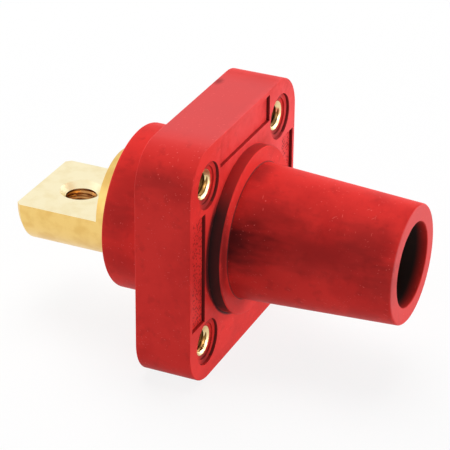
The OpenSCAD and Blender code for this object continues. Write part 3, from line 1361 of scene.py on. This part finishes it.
    def build(self, finish: Finish) -> None:
        """Builds, dresses and seats the moulding.

        Args:
            finish: The elastomer.
        """
        made = self.plate()
        combine(made, self.turned_middle(), Cut.JOIN)
        for place in PocketPlace:
            combine(made, self.pocket_cutter(place), Cut.REMOVE)
        for side in Side:
            for level in Level:
                combine(made, self.seat_cutter(side, level), Cut.REMOVE)
        soften(made, self.soft_edge)
        dress(made, finish)
        shade(made)
        self.mark_faces(made.data)
        seat(made, "body")

    def mark_faces(self, mesh: bpy.types.Mesh) -> None:
        """Marks the painted shade in the corners, stippled pocket floors, and the faces with dust and a
        painted sheen.

        Args:
            mesh: The moulding's mesh.
        """
        hollow = mesh.attributes.new(HOLLOW, "FLOAT", "CORNER").data
        stippled = mesh.attributes.new(STIPPLED, "FLOAT", "FACE").data
        bloom = mesh.attributes.new(DUST_AND_SHEEN, "FLOAT", "FACE").data
        for face in mesh.polygons:
            place = face.center / MM
            bloom[face.index].value = float(self.has_dust_and_sheen(face.normal, place))
            stippled[face.index].value = float(self.is_stippled(face.normal, place))
            for corner in face.loop_indices:
                point = mesh.vertices[mesh.loops[corner].vertex_index].co / MM
                hollow[corner].value = self.hollow_share(face.normal, place, point)

    def has_dust_and_sheen(self, normal: Vector, place: Vector) -> bool:
        """Whether a face is one of the flange's top or the nose's tip.

        Args:
            normal: The face's normal.
            place: Its middle in millimetres.

        Returns:
            True if it carries dust and a painted sheen.
        """
        outside = math.hypot(place.x, place.z) > self.collar_r + self.edge_r
        on_top = outside and place.z > self.sizes.side / 2 - self.corner_r / 2
        at_tip = place.y < self.sizes.tip_y + self.nose_edge_r / 2
        return (normal.z > self.facing_up and on_top) or (normal.y < -self.facing_front and at_tip)

    def is_stippled(self, normal: Vector, place: Vector) -> bool:
        """Whether a face is the floor of a pocket at the left or right.

        Args:
            normal: The face's normal.
            place: Its middle in millimetres.

        Returns:
            True if it is stippled.
        """
        floor = abs(place.y - self.front_y - self.pocket_depth) < self.soft_edge
        beside = abs(place.x) > abs(place.z) and self.in_pocket(place)
        return floor and beside and abs(normal.y) > self.square

    def hollow_share(self, normal: Vector, place: Vector, point: Vector) -> float:
        """How dark a face is painted at one of its corners, as painted shade in the corners.

        Args:
            normal: The face's normal.
            place: Its middle in millimetres.
            point: The corner in millimetres.

        Returns:
            0 for unshaded and 1 for dark.
        """
        dirt, soft = self.dirt, self.soft_edge
        radius = math.hypot(place.x, place.z)
        if self.collar_y - self.root_r < place.y < self.collar_y:
            return dirt.root if self.nose_root_r < radius < self.nose_root_r + self.root_r else 0.0
        hole = self.insert.nearest(place)
        away, rise = math.dist((place.x, place.z), hole), abs(point.z - hole[1])
        if abs(normal.y) > self.leaning:
            below = place.y > self.front_y + soft
            sunk = below and away < self.recess_r and not self.in_pocket(place)
            upright = rise / max(math.dist((point.x, point.z), hole), soft)
            return dirt.recess_floor * upright**dirt.recess_power if sunk else 0.0
        if self.collar_y < place.y < self.front_y and abs(radius - self.collar_r) < soft:
            return dirt.on_collar(point.z / self.collar_r, (self.front_y - point.y) / self.collar_h)
        if not self.front_y < place.y < self.sizes.insert_y:
            return 0.0
        if away < self.step_r + soft:
            return dirt.step_least + dirt.step_more * (rise / max(away, soft)) ** dirt.step_power
        if away < self.recess_r + soft or self.in_pocket(place):
            depth = min(1.0, (point.y - self.front_y) / self.recess_depth)
            return (dirt.ledge if normal.z > self.square else dirt.wall) + dirt.wall_deeper * depth
        return 0.0

    def in_pocket(self, place: Vector) -> bool:
        """Whether a place lies in one of the pockets or on its walls.

        Args:
            place: The place in millimetres.

        Returns:
            True in a pocket.
        """
        outer = self.sizes.side / 2 - self.pocket_rim + self.soft_edge
        inner = outer - self.pocket_w - 2 * self.soft_edge
        half = self.pocket_len / 2 + self.soft_edge
        upright = abs(place.z) < half and inner < abs(place.x) < outer
        return upright or (abs(place.x) < half and inner < place.z < outer)


@dataclass(frozen=True)
class Contact:
    """The turned brass contact: socket, shank, stub and half-round terminal."""

    sizes: FrameSizes
    shank: Shank
    stub_len: float = 5.2
    end_chamfer: float = 1.2
    tap_chamfer: float = 1.6
    tap_depth: float = 0.76
    tap_pitch: float = 1.5875
    socket_depth: float = 30.0
    socket_chamfer: float = 1.0
    drill_angle: float = 118.0
    drill_web: float = 0.05
    key_r: float = 4.0
    key_reach: float = 2.0
    land_len: float = 9.0
    groove_w: float = 8.0
    groove_gap: float = 0.2
    groove_rise: float = 0.8
    soft_edge: float = 0.14
    over: float = 1.0
    segments: int = 128
    key_segments: int = 64
    tap_segments: int = 72
    sink_segments: int = 96
    sharp_angle: float = 30.0
    facing_up: float = 0.5

    @property
    def shoulder_y(self) -> float:
        """Y where the flat meets the full round bar."""
        return self.sizes.boss_y + self.stub_len

    def bar(self) -> Piece:
        """Turns the bar with its waist and the drilled socket.

        Returns:
            The turned bar.
        """
        size = self.sizes
        outer, inner = size.bar_r, size.socket_r
        floor_y = size.mouth_y + self.socket_depth
        slope = math.tan(math.radians(self.drill_angle / 2))
        point_y = floor_y + inner / slope
        web_r = inner * self.drill_web
        section = [(0.0, size.end_y), (outer - self.end_chamfer, size.end_y)]
        section += [(outer, size.end_y - self.end_chamfer), *self.shank.wall(size)]
        section += [(inner + self.socket_chamfer, size.mouth_y), (inner, size.mouth_y + self.socket_chamfer)]
        section += [(inner, floor_y), (web_r, point_y - web_r / slope), (0.0, point_y)]
        return revolve("brass_contact", section, self.segments)

    def cutters(self) -> list[Piece]:
        """The solids that are cut from the bar before its edges are broken.

        Returns:
            The terminal's upper half, the cam groove and the keyway.
        """
        size, over = self.sizes, self.over
        wide = size.bar_r + over
        low = Vector((-wide, self.shoulder_y, size.flat_z))
        upper = block("upper_half", low, Vector((wide, size.end_y + over, wide)))
        front, rear = size.mouth_y + self.land_len, size.mouth_y + self.land_len + self.groove_w
        far = size.socket_r + self.key_reach + self.groove_gap
        near = far - self.groove_rise
        groove_at, key_at = (far - near) / 2, size.socket_r + self.key_reach - self.key_r
        groove = rod("cam_groove", (far + near) / 2, (front, rear), self.segments, (0.0, groove_at))
        key = rod("keyway", self.key_r, (size.mouth_y - over, rear), self.key_segments, (0.0, key_at))
        return [upper, groove, key]

    def countersink(self) -> Piece:
        """The cone that opens the tapped hole at the flat.

        Returns:
            The cutter, upright on Z.
        """
        tap, chamfer, over = self.sizes.tap_r, self.tap_chamfer, self.over
        low, high = self.sizes.flat_z - chamfer, self.sizes.flat_z + over
        section = [(0.0, low), (tap, low), (tap + chamfer + over, high), (0.0, high)]
        made = revolve("countersink", section, self.sink_segments)
        made.data.transform(Matrix.Translation((0.0, self.sizes.tap_y * MM, 0.0)) @ UPRIGHT_TO_AXIS)
        return made

    def build(self, tap: ThreadTap, turned: Finish, milled: Finish, threaded: Finish) -> None:
        """Builds, dresses and seats the contact.

        Args:
            tap: Makes the tapped hole's plug.
            turned: Finish of the turned faces.
            milled: Finish of the terminal's flat and the countersink.
            threaded: Finish of the threaded wall.
        """
        made = self.bar()
        for cutter in self.cutters():
            combine(made, cutter, Cut.REMOVE)
        soften(made, self.soft_edge)
        dress(made, turned, milled)
        self.mark_milled(made.data)
        top = self.sizes.flat_z - self.tap_chamfer + self.soft_edge
        length = self.sizes.bar_r + top + self.over
        thread = Thread(self.sizes.tap_r, self.tap_depth, self.tap_pitch, self.tap_segments)
        plug = tap.plug(thread, length, threaded)
        plug.data.transform(Matrix.Translation((0.0, self.sizes.tap_y * MM, (top - length / 2) * MM)))
        combine(made, plug, Cut.REMOVE)
        sink = self.countersink()
        dress(sink, milled)
        combine(made, sink, Cut.REMOVE)
        shade(made, self.sharp_angle)
        seat(made, "contact")

    def mark_milled(self, mesh: bpy.types.Mesh) -> None:
        """Gives the terminal's flat the second finish.

        Args:
            mesh: The contact's mesh.
        """
        for face in mesh.polygons:
            centre = face.center / MM
            behind = centre.y > self.shoulder_y - self.soft_edge
            level = abs(centre.z - self.sizes.flat_z) < self.soft_edge
            if behind and level and face.normal.z > self.facing_up:
                face.material_index = 1


@dataclass(frozen=True)
class PhotoCamera:
    """A camera that sees the part from the photograph's place."""

    azimuth: float = -65.909
    elevation: float = 27.870
    roll: float = 0.678
    distance: float = 535.92
    focal_px: float = 2137.63
    frame_px: float = 450.0
    aim_px: Point = (244.16, 227.61)
    sensor: float = 36.0
    clip_m: Point = (0.01, 100.0)

    def build(self, aim: Vector) -> None:
        """Makes the scene's camera.

        Args:
            aim: The point, in millimetres, that falls on aim_px.
        """
        turn, rise, roll = (math.radians(each) for each in (self.azimuth, self.elevation, self.roll))
        back = Vector((math.sin(turn) * math.cos(rise), -math.cos(turn) * math.cos(rise), math.sin(rise)))
        level = Vector((0.0, 0.0, 1.0)).cross(back).normalized()
        upright = back.cross(level)
        right = level * math.cos(roll) + upright * math.sin(roll)
        up = upright * math.cos(roll) - level * math.sin(roll)
        scale = self.distance / self.focal_px
        aside = right * (self.aim_px[0] - self.frame_px / 2) * scale
        above = up * (self.frame_px / 2 - self.aim_px[1]) * scale
        place = (aim + back * self.distance - aside - above) * MM
        lens = bpy.data.cameras.new("photo_camera")
        lens.sensor_width = self.sensor
        lens.lens = self.focal_px / self.frame_px * self.sensor
        lens.clip_start, lens.clip_end = self.clip_m
        camera = new_object("photo_camera", lens)
        camera.matrix_world = Matrix.Translation(place) @ Matrix((right, up, back)).transposed().to_4x4()
        bpy.context.scene.camera = camera


@dataclass(frozen=True)
class Panel:
    """A soft light panel that faces the part, with its size and distance in metres and power in watts."""

    name: str
    towards: Triple
    size: Point
    power: float
    mirrored: bool = True
    distance: float = 3.0

    def build(self) -> None:
        """Hangs the panel in its place."""
        light = bpy.data.lights.new(self.name, "AREA")
        light.shape = "RECTANGLE"
        light.size, light.size_y = self.size
        light.energy = self.power
        direction = Vector(self.towards).normalized()
        hung = new_object(self.name, light)
        hung.visible_glossy = self.mirrored
        hung.location = direction * self.distance
        hung.rotation_mode = "QUATERNION"
        hung.rotation_quaternion = direction.to_track_quat("Z", "Y")


@dataclass(frozen=True)
class Studio:
    """A pale floor, soft panels and a dim room."""

    floor_half: float = 6.0
    floor_colour: Colour = (0.88, 0.88, 0.88)
    floor_bounce: Colour = (0.66, 0.66, 0.66)
    floor_white: float = 0.86
    room: float = 0.02
    panels: tuple[Panel, ...] = (
        Panel("top_panel", (0.16, 0.10, 0.98), (2.2, 2.2), 75.0, mirrored=False),
        Panel("side_panel", (0.58, 0.58, 0.57), (1.4, 1.4), 30.0, mirrored=False),
        Panel("front_panel", (0.02, -0.99, 0.07), (1.6, 0.4), 40.0),
        Panel("wing_panel", (0.72, -0.68, 0.15), (1.4, 0.8), 31.0),
        Panel("rear_panel", (-0.50, 0.85, 0.17), (1.8, 1.4), 48.0),
        Panel("near_panel", (-0.60, -0.75, 0.28), (1.4, 1.4), 6.0),
    )

    def floor_material(self) -> Finish:
        """A matt pale floor that looks whiter to the camera and in reflections.

        Returns:
            The material.
        """
        material = bpy.data.materials.new("pale_floor")
        sheet = NodeSheet.fresh(material)
        seen = sheet.seen()
        colour = sheet.mix(seen, self.floor_bounce, self.floor_colour)
        paper = sheet.add("ShaderNodeBsdfDiffuse", Color=colour)
        white = sheet.add("ShaderNodeEmission")
        mixed = sheet.add("ShaderNodeMixShader", Fac=sheet.times(seen, self.floor_white))
        sheet.feed(mixed.inputs[1], paper.outputs[0])
        sheet.feed(mixed.inputs[2], white.outputs[0])
        sheet.add("ShaderNodeOutputMaterial", Surface=mixed.outputs[0])
        return material

    def build(self, floor_z: float) -> None:
        """Sets up the floor, the panels and the room.

        Args:
            floor_z: Height of the floor in millimetres.
        """
        half = self.floor_half
        mesh = bpy.data.meshes.new("floor")
        corners = [(-half, -half), (half, -half), (half, half), (-half, half)]
        mesh.from_pydata([(x, y, floor_z * MM) for x, y in corners], [], [[0, 1, 2, 3]])
        mesh.materials.append(self.floor_material())
        new_object("floor", mesh)
        for panel in self.panels:
            panel.build()
        world = bpy.data.worlds.new("room")
        sheet = NodeSheet.fresh(world)
        glow = sheet.span(sheet.seen(), self.room, 1.0)
        air = sheet.add("ShaderNodeBackground", Color=(1.0, 1.0, 1.0, 1.0), Strength=glow)
        sheet.add("ShaderNodeOutputWorld", Surface=air.outputs[0])
        bpy.context.scene.world = world


def main() -> None:
    """Builds the camera, the pieces and the studio in order."""
    logging.basicConfig(level=logging.INFO, format="%(name)s %(message)s")
    bpy.context.scene.view_settings.view_transform = "Standard"
    sizes, shank = FrameSizes.read(), Shank()
    insert, contact = Insert(sizes), Contact(sizes, shank)
    moulding = Moulding(sizes, shank, insert)
    elastomer = MouldedElastomer(sizes.nose_bore_r, sizes.tip_y, moulding.collar_r, moulding.front_y)
    PhotoCamera().build(Vector((0.0, moulding.front_y, 0.0)))
    turned, milled, faced = TURNED.material(), MILLED.material(), FACED.material()
    threaded, shaded = THREADED.material(), SHADED.material()
    tap = ThreadTap()
    moulding.build(elastomer.material())
    insert.build(tap, turned, faced, shaded)
    contact.build(tap, turned, milled, threaded)
    Studio().build(sizes.floor_z)


if __name__ == "__main__":
    main()
